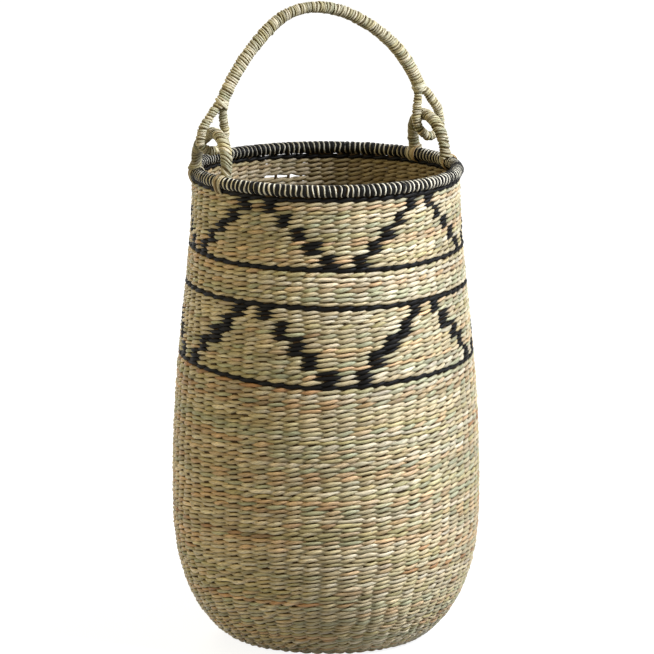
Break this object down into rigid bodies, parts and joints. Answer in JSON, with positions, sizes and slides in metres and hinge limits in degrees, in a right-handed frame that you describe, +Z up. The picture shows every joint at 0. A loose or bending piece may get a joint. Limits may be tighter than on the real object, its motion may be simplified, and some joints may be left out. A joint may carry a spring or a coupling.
{
  "type": "woven market basket",
  "caption": "Tall twined market basket with a bound rim, dark zig-zag bands and a wrapped bail handle that swings on looped ears.",
  "frame": {"origin": "middle of the flat base, on the floor", "axes": "+Z up along the basket's axis, X along the line through both ears, so the handle swings in the YZ plane"},
  "size_m": [0.28, 0.28, 0.5831],
  "materials": {
    "natural_weave": "matte",
    "black_weave": "satin",
    "stake_fibre": "matte",
    "straw_wrap": "matte",
    "two_tone_wrap": "satin",
    "lash_fibre": "matte"
  },
  "bodies": {
    "basket": {"base_start": "natural_weave", "base_weave": "natural_weave", "stakes": "stake_fibre", "foot_weave": "natural_weave", "heel_weave": "natural_weave", "belly_weave": "natural_weave", "lower_wall_weave": "natural_weave", "black_course_low": "black_weave", "lower_zigzag_band": "natural_weave", "black_course_mid": "black_weave", "plain_band": "natural_weave", "black_course_high": "black_weave", "upper_zigzag_band": "natural_weave", "black_course_top": "black_weave", "inner_weave": "natural_weave", "rim_hoop": "stake_fibre", "rim_wrap": "two_tone_wrap", "left_ear_core": "stake_fibre", "right_ear_core": "stake_fibre", "left_ear_wrap": "straw_wrap", "right_ear_wrap": "straw_wrap", "left_ear_lash_front": "lash_fibre", "left_ear_lash_back": "lash_fibre", "right_ear_lash_front": "lash_fibre", "right_ear_lash_back": "lash_fibre"},
    "handle": {"handle_core": "stake_fibre", "handle_wrap": "straw_wrap", "left_eye_core": "stake_fibre", "right_eye_core": "stake_fibre", "left_eye_wrap": "straw_wrap", "right_eye_wrap": "straw_wrap", "left_fork_tie": "straw_wrap", "right_fork_tie": "straw_wrap"}
  },
  "joints": [
    {"name": "handle_swing", "type": "hinge", "parent": "basket", "child": "handle", "pos_m": [0, 0.0095, 0.44136], "axis": [1, 0, 0], "range_deg": [-88, 88]}
  ]
}
